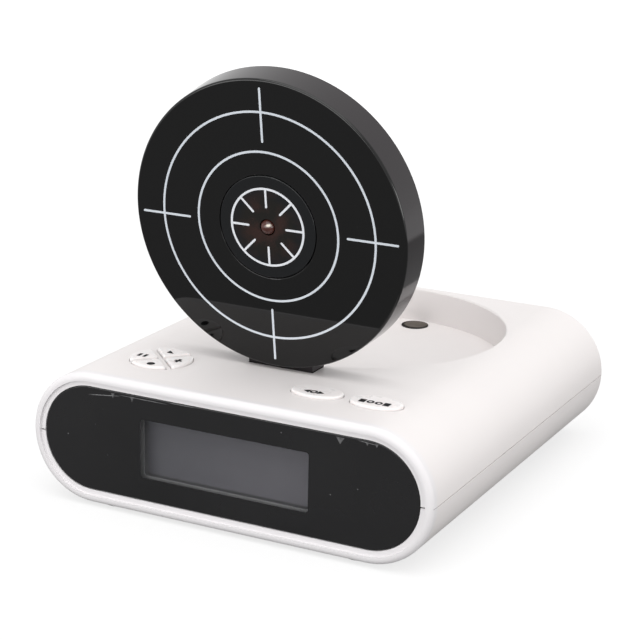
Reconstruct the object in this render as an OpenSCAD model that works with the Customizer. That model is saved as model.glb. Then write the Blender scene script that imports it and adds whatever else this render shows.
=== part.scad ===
// Digital alarm clock with a folding round target.
// The base is a flat housing with round sides and a dark front window. The target stands up on a
// hinge near the front, and folds back into a round pocket in the top.
// +X is the viewer's right, +Y runs from the window to the rear, +Z is up.
// The origin is on the table, under the middle of the housing.

/* [Base] */
// Width of the base
base_w = 142.5; // [140:0.5:170]
// Height of the housing, without its feet
base_h = 44; // [43:0.5:54]
// Wall of the two shells
wall = 2.2; // [1.8:0.1:2.6]
// Rim between the front window and the outside
rim_w = 4.5; // [4.3:0.1:5]
// Rounding of the front lip
lip_r = 2; // [1:0.1:2.2]
// Rounding of the rear edge
rear_r = 1.6; // [0.6:0.1:2]
// Width of the sunk ring beside the window
ring_w = 1.9; // [1:0.1:2]
// Depth of that ring behind the lip
ring_d = 0.8; // [0.4:0.1:1.2]
// Top between the pocket and the rear wall
rear_rim = 3.6; // [3:0.1:10]
// Top between the pocket and the sides of the housing
side_rim = 20.6; // [19:0.1:30]
// Rounding of the pocket's upper edge
pocket_edge_r = 0.6; // [0.2:0.1:1]
// Clear ring between the folded target and the pocket wall
pocket_gap = 2; // [1:0.1:4]

/* [Target] */
// Thickness of the target
target_t = 11; // [10:0.5:15]
// How much wider its back is than its face, on the radius
target_flare = 0.8; // [0:0.1:1.2]
// Wall of the target's cup
target_wall = 2; // [1.6:0.1:2.4]
// Forward lean of the raised target, in degrees
target_tilt = 8.1; // [0:0.1:14]
// Radius of the round lens at the bullseye
bull_r = 16.9; // [15:0.1:19]
// Radius of the receiver's dome
dome_r = 2.4; // [2:0.1:3]
// Radius of the inner printed ring, as a share of the face's
ring_in_share = 0.265; // [0.2:0.005:0.3]
// Radius of the middle printed ring
ring_mid_share = 0.516; // [0.44:0.002:0.58]
// Radius of the outer printed ring
ring_out_share = 0.782; // [0.7:0.002:0.86]
// Width of the printed lines
line_w = 0.7; // [0.5:0.05:1.5]

/* [Hinge] */
// Hinge axis behind the front lip
hinge_back = 40; // [39:0.5:48]
// Hinge axis under the top
hinge_drop = 5.85; // [5.5:0.05:6.3]
// Hinge axis behind the target's face
face_offset = 5.1; // [4.9:0.1:6]
// Hinge axis to the rim of the target's face
foot_reach = 7.8; // [7.5:0.1:10]
// Width of the foot under the target
foot_w = 23.2; // [20:0.2:28]
// Foot's front behind the target's face
foot_set_back = 3.1; // [2.6:0.1:3.2]
// Radius of the hinge pin
pin_r = 1; // [0.8:0.05:1.2]

/* [Controls] */
// Length of the two oval buttons
oval_l = 17.4; // [14:0.2:19]
// Width of the two oval buttons
oval_w = 10.6; // [9:0.2:13]
// Radius of their ends
oval_end_r = 4; // [3:0.1:4.4]
// Mode button inside the start of the round side
mode_in = 6.55; // [5.2:0.05:7.5]
// Pitch of the two oval buttons
oval_pitch = 20.4; // [19:0.1:24]
// Oval buttons behind the front lip
oval_back = 19.8; // [18:0.1:22]
// Key pad inside the start of the round side
pad_in = 12.2; // [10.6:0.05:14]
// Key pad behind the front lip
pad_back = 24.2; // [24:0.1:27]
// Radius of the key pad
pad_r = 10.3; // [9:0.1:11]
// Web between the keys of the pad
pad_web = 1.8; // [1.6:0.1:2.4]
// Buttons and keys above the top
key_proud = 1; // [0.6:0.1:2]
// Travel of every button and key
key_travel = 0.5; // [0.3:0.05:0.7]

/* [Display] */
// Clear field of the window inside the start of the round ends
view_in = 19.25; // [18:0.05:25]
// Black border above and below the clear field
view_edge = 7.75; // [7:0.05:9]
// Display left of the middle
display_left = 0.6; // [0:0.1:2]
// Display glass behind the window's front
lcd_back = 4.7; // [4.5:0.1:6]
// Thickness of the front window
window_t = 2.2; // [1.6:0.1:2.4]

/* [Power] */
// Diameter of a cell
cell_d = 14.5; // [14:0.1:15]
// Length of a cell
cell_l = 50.5; // [48:0.5:52]
// Number of cells
cell_n = 3; // [2, 3]
// Thickness of the battery door
door_t = 2; // [1.6:0.1:2.4]

/* [Fixings] */
// Radius of the rubber feet
pad_foot_r = 6; // [5:0.1:6.4]
// Feet below the housing
foot_proud = 1.2; // [0.8:0.1:3]
// Magnet's pole inside the pocket wall
magnet_in = 6.2; // [5.8:0.1:12]
// Magnet's pole right of the middle
magnet_x = 1; // [0:0.1:3]
// Radius of the magnet's pole
pole_r = 4.9; // [3:0.1:5]

/* [Hidden] */
$fn = 96;
large_fn = 180;

white = [0.91, 0.90, 0.89];
gloss_black = [0.04, 0.04, 0.045];
dark_grey = [0.14, 0.14, 0.15];
steel = [0.72, 0.73, 0.75];
board_green = [0.10, 0.35, 0.20];

// Overrun of a cut past the face it opens
over = 1;
// Slack between pieces that are assembled and stay put
slack = 0.15;
// Gap round a button in its hole
key_gap = 0.25;
// Gap between faces that slide past each other
run_gap = 0.3;
// Radial clearance of the pin where it turns, and where it is held
pin_run = 0.05;
pin_hold = 0.02;

// Heights and places of the housing
z_mid = foot_proud + base_h / 2;
z_top = foot_proud + base_h;
arm = base_w / 2 - base_h / 2;
body_r = base_h / 2;
cavity_r = body_r - wall;

// Target and pocket, from the hinge
pocket_r = base_w / 2 - side_rim;
target_back_r = pocket_r - pocket_gap;
target_r = target_back_r - target_flare;
centre_v = foot_reach + target_r;
base_d = hinge_back + centre_v + pocket_r + rear_rim;
y_front = -base_d / 2;
y_rear = base_d / 2;
hinge_y = y_front + hinge_back;
hinge_z = z_top - hinge_drop;
pocket_y = hinge_y + centre_v;
foot_back = target_t - face_offset;
floor_gap = 0.4;
floor_z = hinge_z - foot_back - floor_gap;
bowl_wall = 1.8;
foot_front = face_offset - foot_set_back;
slot_half = foot_w / 2 + run_gap;
slot_y = hinge_y - foot_front / cos(target_tilt) - hinge_drop * tan(target_tilt) - run_gap;
ear_t = 4;
pin_in = 0.5;

// Window and the ledge that it sits on
window_r = body_r - rim_w;
window_sink = 0.13;
window_y = y_front + ring_d + window_sink;
mask_t = 0.3;
mask_y = window_y + window_t;
ledge_y = mask_y + mask_t;
ledge_t = 1.8;
ledge_w = 1.8;
ledge_r = window_r - ledge_w;

// Display stack, front to rear
lcd_y = window_y + lcd_back;
lcd_t = 2.6;
light_t = 2.5;
board_t = 1.6;
lcd_margin_x = 4;
lcd_margin_z = 2.8;
view_w = 2 * (arm - view_in);
view_h = 2 * (window_r - view_edge);
lcd_half_w = view_w / 2 + lcd_margin_x;
lcd_half_h = view_h / 2 + lcd_margin_z;
light_y = lcd_y + lcd_t;
display_y = light_y + light_t;
holder_side = 4;
holder_half_w = lcd_half_w + holder_side;
holder_half_h = ledge_r - slack;
lcd_lip = 1;
strip_w = 1.6;
strip_in = 2;
small_pilot_r = 0.8;
small_shank_r = 0.75;
small_head_r = 1.6;
small_head_t = 1.2;
small_screw_l = 6;
tip_gap = 1;
display_screw_in = 1;
display_screw_x = lcd_half_w + holder_side / 2;
display_screw_z = view_h / 2 - display_screw_in;

// Buttons, switches and their board
key_flange = 0.6;
flange_t = 1;
stem_l = 2;
stem_r = 1.75;
cap_edge_r = 0.6;
cap_corner_r = 0.8;
cap_sides = 64;
arc_steps = cap_sides / 4;
mode_x = arm - mode_in;
set_x = mode_x - oval_pitch;
set_y = y_front + oval_back;
pad_x = arm - pad_in;
pad_y = y_front + pad_back;
key_reach_share = 0.6;
key_reach = pad_r * key_reach_share;
flange_z = z_top - wall - 2 * slack - flange_t;
press_gap = 0.05;
plunger_z = flange_z - stem_l - key_travel - press_gap;
tact_w = 5.2;
tact_h = 3.5;
plunger_l = 1.5;
plunger_r = 1.6;
key_board_z = plunger_z - plunger_l - tact_h - board_t;
key_board_front = display_y + board_t + small_head_t + run_gap;
board_gap = 1.6;
board_reach = 10;
key_board_rear = slot_y - bowl_wall - board_gap;
key_board_half_w = arm + board_reach;
board_post_r = 2.6;
board_post_in = 3.5;
front_post_in = 7;
board_post_x = key_board_half_w - board_post_in;
board_post_ys = [key_board_front + front_post_in, key_board_rear - board_post_in];

// Case bosses, screws and feet
boss_r = 4.5;
boss_gap = 0.6;
boss_x = display_left + holder_half_w + boss_r + boss_gap;
boss_in = 9.8;
boss_y = base_d / 2 - boss_in;
post_r = 3.5;
case_shank_r = 1.45;
case_pilot_r = 1.5;
case_hole_r = 1.7;
case_head_r = 2.7;
case_head_t = 2;
head_seat_h = 6.5;
head_seat_z = foot_proud + head_seat_h;
pilot_l = 9;
foot_sink = 0.8;

// Battery box and door
box_gap = 0.7;
contact_l = 3.6;
box_l = cell_l + 2 * contact_l;
box_w = cell_n * (cell_d + box_gap) + box_gap;
box_fore = 9;
box_y = pocket_y - box_fore;
box_wall = 1.8;
ledge_in = 1.2;
door_z = foot_proud + door_t;
bay_z = foot_proud + max(wall, door_t + slack);
cell_z = door_z + run_gap + box_gap / 2 + cell_d / 2;
box_roof_z = cell_z + cell_d / 2 + box_gap;
roof_t = 1.6;
bay_l = box_l + 2 * ledge_in;
bay_w = box_w + 2 * ledge_in;
bay_y0 = box_y - bay_w / 2;
bay_y1 = box_y + bay_w / 2;
tongue_in = 10;
tongue_x = box_l / 2 - tongue_in;
tongue_w = 8;
tongue_out = 2;
tongue_t = 1.4;
latch_w = 11;
latch_t = 1.1;
latch_h = 6;
latch_out = 3.4;
latch_room = 1;
niche_l = latch_out + latch_room;
niche_h = latch_h + 2 * latch_room;

// Magnet under the pocket
magnet_y = pocket_y + pocket_r - magnet_in;
pole_gap = 0.15;
pole_z = floor_z + floor_gap - pole_gap;
bowl_under_z = floor_z - bowl_wall;
coil_r = 6.8;
coil_h = 11;
core_r = 2.6;
core_plate_t = 2;
magnet_low_z = bowl_under_z - coil_h - core_plate_t - 2 * slack;
strap_t = 1.2;
post_gap = 2;
strap_x = coil_r + post_r + post_gap;
strap_w = 9;

// Speaker, front left of the battery box
speaker_r = 14;
speaker_in = 3;
speaker_fore = 4.5;
speaker_x = speaker_r + speaker_in - arm;
speaker_y = bay_y0 - speaker_r - speaker_fore;
speaker_h = 4.2;
speaker_lip = 1.6;
basket_rise = 1.8;
basket_h = speaker_h + basket_rise;
basket_sheet = 1;
grille_pitch = 3.9;
grille_hole_r = 1;
speaker_z = foot_proud + wall;

// Target's inner pieces
face_t = 2.2;
cover_t = 2;
cover_r = target_back_r - target_wall - slack - target_flare * cover_t / target_t;
edge_r = 0.8;
print_t = 0.12;
bull_gap = 0.25;
bull_edge_r = 0.25;
bull_flange = 1.6;
bull_flange_t = 1.2;
dome_in = 0.7;
dome_hole_gap = 0.3;
sensor_r = 13.5;
sensor_z = cover_t + run_gap + small_head_t + board_t - target_t;
sensor_post_r = 2;
sensor_post_gap = 0.4;
sensor_post_at = bull_r + bull_flange + sensor_post_r + sensor_post_gap;
cover_post_in = 6.5;
cover_post_at = target_r - target_wall - cover_post_in;
cover_post_r = 3;
keeper_r = 4.5;
keeper_t = 1.4;
keeper_in = 1;
keeper_v = cover_r - keeper_in - keeper_r;
ring_radii = target_r * [ring_in_share, ring_mid_share, ring_out_share];
tick_in_share = 0.585;
tick_out_share = 0.938;
spoke_in_share = 0.53;

// Torsion spring round the pin
wire_r = 0.4;
coil_mid_r = 1.75;
spring_turns = 4;
spring_room = 4.2;
spring_notch = 3.2;
wire_sides = 6;
rings_per_turn = 16;

// Sliver that rounds a square corner at the origin, with the body towards +X and +Y
module corner_cut(r) {
    difference() {
        translate([-over, -over]) square(r + over);
        translate([r, r]) circle(r);
    }
}

// Half of a round-ended bar: the profile gives distance from the middle line, and place along Y
module half_pill() {
    for (side = [0, 1])
        mirror([side, 0, 0])
            translate([arm, 0, 0])
                rotate([90, 0, 0])
                    rotate_extrude(angle = 90) mirror([0, 1]) children();
    translate([arm, 0, 0]) rotate([0, -90, 0]) linear_extrude(2 * arm) children();
}

// Section of the housing, taken as solid
module body_profile() {
    difference() {
        translate([0, y_front]) square([body_r, base_d]);
        translate([body_r, y_front]) mirror([1, 0]) corner_cut(lip_r);
        translate([body_r, y_rear]) rotate(180) corner_cut(rear_r);
    }
}

// Section of a shell: the lip, the sunk ring, the window's seat, its ledge and the wall
module shell_profile() {
    ring_out = window_r + ring_w;
    difference() {
        body_profile();
        translate([-over, y_front - over]) square([ring_out + over, ring_d + over]);
        translate([-over, y_front - over]) square([window_r + slack + over, ledge_y - y_front + over]);
        translate([-over, y_front]) square([ledge_r + over, ledge_y + ledge_t - y_front + over]);
        translate([-over, ledge_y + ledge_t])
            square([cavity_r + over, y_rear - wall - ledge_y - ledge_t]);
    }
}

// Flat bar with round ends, standing across Y
module pill_plate(r, y, t) {
    translate([0, y + t, z_mid])
        rotate([90, 0, 0])
            linear_extrude(t) {
                square([2 * arm, 2 * r], center = true);
                for (x = [-arm, arm])
                    translate([x, 0]) circle(r);
            }
}

// Points of an arc about centre, from one angle to another
function arc_points(centre, r, from, to) = [
    for (i = [0:arc_steps - 1]) let (t = from + (to - from) * i / arc_steps) centre + r * [cos(t), sin(t)]
];

// Oval of four arcs that run into each other, grown on every side by grow
module oval(grow) {
    half_w = oval_w / 2 + grow;
    end_r = oval_end_r + grow;
    end_x = oval_l / 2 - oval_end_r;
    side_r = (end_x * end_x + half_w * half_w - end_r * end_r) / (2 * (half_w - end_r));
    side_y = side_r - half_w;
    meet = atan2(side_y, end_x);
    polygon(concat(
        arc_points([end_x, 0], end_r, -meet, meet),
        arc_points([0, -side_y], side_r, meet, 180 - meet),
        arc_points([-end_x, 0], end_r, 180 - meet, 180 + meet),
        arc_points([0, side_y], side_r, 180 + meet, 360 - meet)
    ));
}

// One quarter of the key pad, towards +X, grown on every side by grow
module quarter(grow) {
    intersection() {
        circle(pad_r + grow);
        translate([pad_web / sqrt(2) - grow * sqrt(2), 0]) rotate(-45) square(2 * pad_r);
    }
}

// A button: cap with a rounded upper edge, flange under the top, and stem over its switch
module button(stem_x) {
    cap_z = flange_z + flange_t;
    cap_h = z_top + key_proud - cap_z;
    hull()
        for (tilt = [0, 45, 90])
            translate([0, 0, cap_z]) linear_extrude(cap_h - cap_edge_r * (1 - sin(tilt)))
                offset(-cap_edge_r * (1 - cos(tilt))) children(0);
    translate([0, 0, flange_z]) linear_extrude(flange_t) children(1);
    translate([stem_x, 0, flange_z - stem_l]) cylinder(r = stem_r, h = stem_l);
}

module oval_button() {
    color(white)
        button(0) {
            oval(0);
            oval(key_flange);
        }
}

module pad_key(turn) {
    color(white)
        translate([-pad_x, pad_y, 0])
            rotate(turn)
                button(key_reach) {
                    offset(cap_corner_r) offset(-cap_corner_r) quarter(0, $fn = cap_sides);
                    quarter(key_flange);
                }
}

module set_button() {
    translate([set_x, set_y, 0]) oval_button();
}

module mode_button() {
    translate([mode_x, set_y, 0]) oval_button();
}

// Through cuts for the six buttons
module button_holes() {
    translate([0, 0, z_top - wall - over])
        linear_extrude(wall + 2 * over) {
            for (x = [set_x, mode_x])
                translate([x, set_y]) oval(key_gap);
            translate([-pad_x, pad_y])
                for (turn = [0:90:270])
                    rotate(turn) quarter(key_gap);
        }
}

// Solid round the pocket, and the block with the hinge ears
module pocket_bowl() {
    translate([0, pocket_y, bowl_under_z])
        cylinder(r = pocket_r + bowl_wall, h = z_top - bowl_under_z);
    translate([-slot_half - ear_t, slot_y - bowl_wall, bowl_under_z])
        cube([2 * (slot_half + ear_t), pocket_y - slot_y, z_top - bowl_under_z]);
}

module pocket_cut() {
    translate([0, pocket_y, 0]) {
        translate([0, 0, floor_z]) cylinder(r = pocket_r, h = z_top - floor_z + over, $fn = large_fn);
        rotate_extrude($fn = large_fn)
            translate([pocket_r, z_top]) mirror([0, 1]) corner_cut(pocket_edge_r);
    }
    translate([-slot_half, slot_y, floor_z])
        cube([2 * slot_half, pocket_y - slot_y, z_top - floor_z + over]);
}

module at_bosses() {
    for (x = [-boss_x, boss_x], y = [-boss_y, boss_y])
        translate([x, y, 0]) children();
}

module at_board_posts() {
    for (x = [-board_post_x, board_post_x], y = board_post_ys)
        translate([x, y, 0]) children();
}

module at_strap_posts() {
    for (x = [-strap_x, strap_x])
        translate([magnet_x + x, magnet_y, 0]) children();
}

module upper_shell() {
    board_top = key_board_z + board_t;
    color(white)
        difference() {
            union() {
                translate([0, 0, z_mid]) half_pill() shell_profile();
                intersection() {
                    translate([0, 0, z_mid]) half_pill() body_profile();
                    union() {
                        pocket_bowl();
                        at_bosses() translate([0, 0, z_mid]) cylinder(r = post_r, h = body_r);
                        at_board_posts()
                            translate([0, 0, board_top]) cylinder(r = board_post_r, h = z_top - board_top);
                    }
                }
                at_strap_posts()
                    translate([0, 0, magnet_low_z]) cylinder(r = post_r, h = bowl_under_z - magnet_low_z);
            }
            pocket_cut();
            button_holes();
            translate([0, hinge_y, hinge_z])
                rotate([0, 90, 0])
                    cylinder(r = pin_r + pin_hold, h = 2 * (slot_half + ear_t + over), center = true);
            at_bosses() translate([0, 0, z_mid - over]) cylinder(r = case_pilot_r, h = pilot_l + over);
            at_board_posts()
                translate([0, 0, board_top - over]) cylinder(r = small_pilot_r, h = small_screw_l + over);
            at_strap_posts()
                translate([0, 0, magnet_low_z - over])
                    cylinder(r = small_pilot_r, h = small_screw_l + over);
            translate([magnet_x, magnet_y, bowl_under_z - over])
                cylinder(r = pole_r + slack, h = bowl_wall + 2 * over);
        }
}

// Outline of the battery box and the latch's niche, seen from above
module box_plan(grow) {
    translate([0, box_y]) square([box_l + 2 * grow, box_w + 2 * grow], center = true);
}

module niche_plan(grow) {
    translate([-latch_w / 2 - latch_room - grow, box_y])
        square([latch_w + 2 * (latch_room + grow), bay_y1 + niche_l + grow - box_y]);
}

module battery_box() {
    translate([0, 0, foot_proud]) linear_extrude(box_roof_z + roof_t - foot_proud) box_plan(box_wall);
    translate([0, 0, foot_proud]) linear_extrude(door_z + niche_h + roof_t - foot_proud)
        niche_plan(box_wall);
}

module battery_room() {
    translate([0, 0, foot_proud - over]) linear_extrude(box_roof_z - foot_proud + over) box_plan(0);
    translate([0, 0, foot_proud - over]) linear_extrude(door_z + niche_h - foot_proud + over)
        niche_plan(0);
    translate([-bay_l / 2, bay_y0, foot_proud - over]) cube([bay_l, bay_w, bay_z - foot_proud + over]);
    for (x = [-tongue_x, tongue_x])
        translate([x - tongue_w / 2 - run_gap, bay_y0 - tongue_out - run_gap, bay_z])
            cube([
                tongue_w + 2 * run_gap, tongue_out + box_wall + 2 * run_gap + over, 2 * tongue_t + run_gap
            ]);
}

module grille_holes() {
    translate([speaker_x, speaker_y, foot_proud - over]) {
        cylinder(r = grille_hole_r, h = wall + 2 * over);
        for (ring = [1, 2], i = [0:6 * ring - 1])
            rotate(i * 60 / ring)
                translate([ring * grille_pitch, 0, 0]) cylinder(r = grille_hole_r, h = wall + 2 * over);
    }
}

// Fine gap round the joint of the shells, and the wider gap across the sunk ring
module seam_cut() {
    seam_h = 0.25;
    seam_in = 0.35;
    notch_h = 0.5;
    difference() {
        translate([-base_w / 2 - over, y_front - over, z_mid - seam_h])
            cube([base_w + 2 * over, base_d + 2 * over, seam_h + over]);
        translate([-base_w / 2 + seam_in, y_front - 2 * over, z_mid - seam_h - over])
            cube([base_w - 2 * seam_in, base_d + 2 * over - seam_in, seam_h + 3 * over]);
    }
    translate([-arm - window_r - ring_w, y_front - over, z_mid - notch_h])
        cube([2 * (arm + window_r + ring_w), over + ledge_y - y_front, notch_h + over]);
}

module lower_shell() {
    color(white)
        difference() {
            union() {
                translate([0, 0, z_mid]) mirror([0, 0, 1]) half_pill() shell_profile();
                battery_box();
                at_bosses() translate([0, 0, foot_proud]) cylinder(r = boss_r, h = z_mid - foot_proud);
                translate([speaker_x, speaker_y, speaker_z - slack])
                    cylinder(r = speaker_r + slack + speaker_lip, h = speaker_h + slack);
            }
            battery_room();
            grille_holes();
            seam_cut();
            translate([speaker_x, speaker_y, speaker_z])
                cylinder(r = speaker_r + slack, h = speaker_h + over);
            at_bosses() {
                translate([0, 0, foot_proud - over]) cylinder(r = pad_foot_r + slack, h = foot_sink + over);
                translate([0, 0, foot_proud]) cylinder(r = case_head_r + slack, h = head_seat_z - foot_proud);
                translate([0, 0, foot_proud]) cylinder(r = case_hole_r, h = base_h);
            }
        }
}

module front_window() {
    color(gloss_black) pill_plate(window_r, window_y, window_t);
}

module window_mask() {
    corner = 1;
    color(dark_grey)
        difference() {
            pill_plate(window_r, mask_y, mask_t);
            translate([-display_left, mask_y + mask_t + over, z_mid])
                rotate([90, 0, 0])
                    linear_extrude(mask_t + 2 * over) {
                        square([view_w, view_h - 2 * corner], center = true);
                        square([view_w - 2 * corner, view_h], center = true);
                        for (x = [-1, 1], z = [-1, 1])
                            translate([x * (view_w / 2 - corner), z * (view_h / 2 - corner)]) circle(corner);
                    }
        }
}

// Upright plate centred on the display: half width, half height, front place and thickness
module upright(half_w, half_h, y, t) {
    translate([-display_left - half_w, y, z_mid - half_h]) cube([2 * half_w, t, 2 * half_h]);
}

module at_display_screws() {
    for (x = [-display_screw_x, display_screw_x], z = [-display_screw_z, display_screw_z])
        translate([x - display_left, display_y, z_mid + z]) rotate([-90, 0, 0]) children();
}

module lcd_holder() {
    color(dark_grey)
        difference() {
            upright(holder_half_w, holder_half_h, ledge_y, display_y - ledge_y);
            upright(
                lcd_half_w - lcd_lip, lcd_half_h - lcd_lip,
                ledge_y - over, display_y - ledge_y + 2 * over
            );
            upright(lcd_half_w + slack, lcd_half_h + slack, lcd_y, display_y - lcd_y + over);
            at_display_screws()
                translate([0, 0, -small_screw_l]) cylinder(r = small_pilot_r, h = small_screw_l + over);
        }
}

module lcd_glass() {
    color([0.32, 0.33, 0.35]) upright(lcd_half_w, lcd_half_h, lcd_y, lcd_t);
}

module lcd_backlight() {
    color([0.9, 0.92, 0.95]) upright(lcd_half_w, lcd_half_h - strip_w - slack, light_y, light_t);
}

module contact_strips() {
    color([0.75, 0.3, 0.45])
        for (z = [strip_w / 2 - lcd_half_h, lcd_half_h - strip_w / 2])
            translate([0, 0, z]) upright(lcd_half_w - strip_in, strip_w / 2, light_y, light_t);
}

module display_board() {
    color(board_green)
        difference() {
            upright(holder_half_w, holder_half_h, display_y, board_t);
            at_display_screws() translate([0, 0, -over]) cylinder(r = small_pilot_r, h = board_t + 2 * over);
        }
}

// Small screw with its head above the origin and its shank below
module small_screw() {
    shank_l = board_t + small_screw_l - tip_gap;
    cross_l = 1.8;
    cross_w = 0.4;
    cross_deep = 0.6;
    color(steel) {
        difference() {
            cylinder(r = small_head_r, h = small_head_t);
            for (turn = [0, 90])
                rotate(turn)
                    translate([-cross_l / 2, -cross_w / 2, small_head_t - cross_deep])
                        cube([cross_l, cross_w, cross_deep + over]);
        }
        translate([0, 0, -shank_l]) cylinder(r = small_shank_r, h = shank_l);
    }
}

module display_screws() {
    at_display_screws() translate([0, 0, board_t]) small_screw();
}

// Middle places of the six switches
function switch_places() = concat(
    [[set_x, set_y], [mode_x, set_y]],
    [for (turn = [0:90:270]) [-pad_x + key_reach * cos(turn), pad_y + key_reach * sin(turn)]]
);

module key_board() {
    color(board_green)
        difference() {
            translate([-key_board_half_w, key_board_front, key_board_z])
                cube([2 * key_board_half_w, key_board_rear - key_board_front, board_t]);
            at_board_posts()
                translate([0, 0, key_board_z - over]) cylinder(r = small_pilot_r, h = board_t + 2 * over);
        }
}

module tact_switches() {
    color([0.1, 0.1, 0.1])
        for (p = switch_places())
            translate([p[0], p[1], key_board_z + board_t]) {
                translate([-tact_w / 2, -tact_w / 2, 0]) cube([tact_w, tact_w, tact_h]);
                cylinder(r = plunger_r, h = tact_h + plunger_l);
            }
}

// Chip under its round cover, the clock crystal and two capacitors, under the key board
module board_parts() {
    chip_r = 7;
    chip_t = 2;
    chip_taper = 1;
    cap_r = 3;
    cap_h = 7;
    cap_pitch = 9;
    crystal_r = 1.5;
    crystal_l = 8;
    crystal_gap = 2;
    color([0.08, 0.08, 0.08]) {
        translate([-pad_x, pad_y, key_board_z - chip_t])
            cylinder(r1 = chip_r - chip_taper, r2 = chip_r, h = chip_t);
        for (x = [set_x, set_x + cap_pitch])
            translate([x, set_y, key_board_z - cap_h]) cylinder(r = cap_r, h = cap_h);
    }
    color(steel)
        translate([-pad_x + chip_r + crystal_gap, pad_y, key_board_z - crystal_r])
            rotate([0, 90, 0]) cylinder(r = crystal_r, h = crystal_l);
}

// Flat lead from the back of the display board up to the key board
module ribbon_cable() {
    lead_w = 14;
    lead_t = 0.8;
    bend_r = 4;
    lead_low = 2;
    lead_run = 2;
    lead_z = z_mid - lead_low;
    start_y = display_y + board_t;
    bend_y = start_y + lead_run;
    color([0.6, 0.6, 0.62])
        translate([lead_w / 2, 0, 0])
            rotate([0, -90, 0])
                linear_extrude(lead_w) {
                    translate([lead_z, start_y]) square([lead_t, bend_y - start_y]);
                    translate([lead_z + bend_r, bend_y])
                        intersection() {
                            difference() {
                                circle(bend_r);
                                circle(bend_r - lead_t);
                            }
                            translate([-bend_r, 0]) square(bend_r);
                        }
                    translate([lead_z + bend_r, bend_y + bend_r - lead_t])
                        square([key_board_z - lead_z - bend_r, lead_t]);
                }
}

module board_screws() {
    at_board_posts() translate([0, 0, key_board_z]) mirror([0, 0, 1]) small_screw();
}

// Frame of the raised target, with its origin on the hinge axis
module raised() {
    translate([0, hinge_y, hinge_z]) rotate([target_tilt, 0, 0]) children();
}

// Frame of the target's face: +Y up the face, +Z out of it, origin at the bullseye
module on_face() {
    raised() translate([0, -face_offset, centre_v]) rotate([90, 0, 0]) children();
}

module hinge_pin() {
    color(steel)
        translate([0, hinge_y, hinge_z])
            rotate([0, 90, 0]) cylinder(r = pin_r, h = 2 * (slot_half + ear_t - pin_in), center = true);
}

// Tube of flat sides along a list of points
module wire(points, r, sides) {
    steep = 0.9;
    n = len(points);
    function heading(i) = let (d = points[min(i + 1, n - 1)] - points[max(i - 1, 0)]) d / norm(d);
    function ring(i) = let (
        d = heading(i),
        u = let (c = cross(d, abs(d[0]) > steep ? [0, 0, 1] : [1, 0, 0])) c / norm(c),
        v = cross(d, u)
    ) [for (k = [0:sides - 1]) points[i] + r * (u * cos(k * 360 / sides) + v * sin(k * 360 / sides))];
    polyhedron(
        [for (i = [0:n - 1]) each ring(i)],
        concat(
            [[for (k = [0:sides - 1]) k]],
            [for (i = [0:n - 2], k = [0:sides - 1]) let (
                a = i * sides + k,
                b = i * sides + (k + 1) % sides
            ) each [[a, b + sides, b], [a, a + sides, b + sides]]],
            [[for (k = [0:sides - 1]) n * sides - 1 - k]]
        )
    );
}

// Coil round the pin with one leg on the slot's front wall and one under the foot
module target_spring() {
    last_share = 0.25;
    turns = spring_turns + last_share;
    steps = rings_per_turn * turns;
    reach = spring_room - 3 * wire_r;
    fore_leg = hinge_y - slot_y - wire_r;
    up_leg = spring_notch - 2 * wire_r;
    coil = [for (i = [0:steps]) let (a = 270 + i * 360 / rings_per_turn) [
        -reach + 2 * reach * i / steps, coil_mid_r * cos(a), coil_mid_r * sin(a)
    ]];
    path = concat([[-reach, -fore_leg, -coil_mid_r]], coil, [[reach, coil_mid_r, up_leg]]);
    color(steel) raised() wire(path, wire_r, wire_sides);
}

// Section of the target's cup, closed at the face
module cup_profile() {
    difference() {
        polygon([
            [0, -target_t], [target_back_r, -target_t], [target_r, -edge_r], [target_r, 0], [0, 0]
        ]);
        translate([target_r, 0]) rotate(180) corner_cut(edge_r);
        polygon([
            [-over, -target_t - over], [target_back_r - target_wall, -target_t - over],
            [target_back_r - target_wall, -target_t], [target_r - target_wall, -face_t], [-over, -face_t]
        ]);
    }
}

module at_cover_posts() {
    for (turn = [45:90:315])
        rotate(turn) translate([cover_post_at, 0, 0]) children();
}

module at_sensor_posts() {
    for (turn = [90:120:330])
        rotate(turn) translate([sensor_post_at, 0, 0]) children();
}

module target_shell() {
    cover_in = target_t - cover_t;
    rim_rise = target_r - sqrt(target_r * target_r - foot_w * foot_w / 4);
    color(gloss_black)
        on_face()
            difference() {
                union() {
                    rotate_extrude($fn = large_fn) cup_profile();
                    at_cover_posts()
                        translate([0, 0, -cover_in]) cylinder(r = cover_post_r, h = cover_in - edge_r);
                    at_sensor_posts()
                        translate([0, 0, sensor_z]) cylinder(r = sensor_post_r, h = -sensor_z - edge_r);
                }
                translate([0, 0, -face_t - over]) cylinder(r = bull_r + bull_gap, h = face_t + 2 * over);
                rotate_extrude() translate([bull_r + bull_gap, 0]) mirror([0, 1]) corner_cut(bull_edge_r);
                at_cover_posts()
                    translate([0, 0, -cover_in - over]) cylinder(r = small_pilot_r, h = small_screw_l + over);
                at_sensor_posts()
                    translate([0, 0, sensor_z - over])
                        cylinder(r = small_pilot_r, h = -sensor_z - face_t + over);
                translate([-foot_w / 2 - slack, -target_back_r - over, -target_t - over])
                    cube([
                        foot_w + 2 * slack, target_wall + rim_rise + 3 * over,
                        target_t + over - foot_set_back + slack
                    ]);
            }
}

// Side view of the foot: the barrel, the sloped heel and the root inside the target
module foot_profile() {
    heel = 45;
    heel_z = 1.5;
    root_in = 4;
    root_z = foot_reach + target_wall + root_in;
    circle(foot_front);
    polygon([
        [-foot_front, 0], [foot_front * cos(heel), -foot_front * sin(heel)], [foot_back, heel_z],
        [foot_back, root_z], [-foot_front, root_z]
    ]);
}

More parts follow.
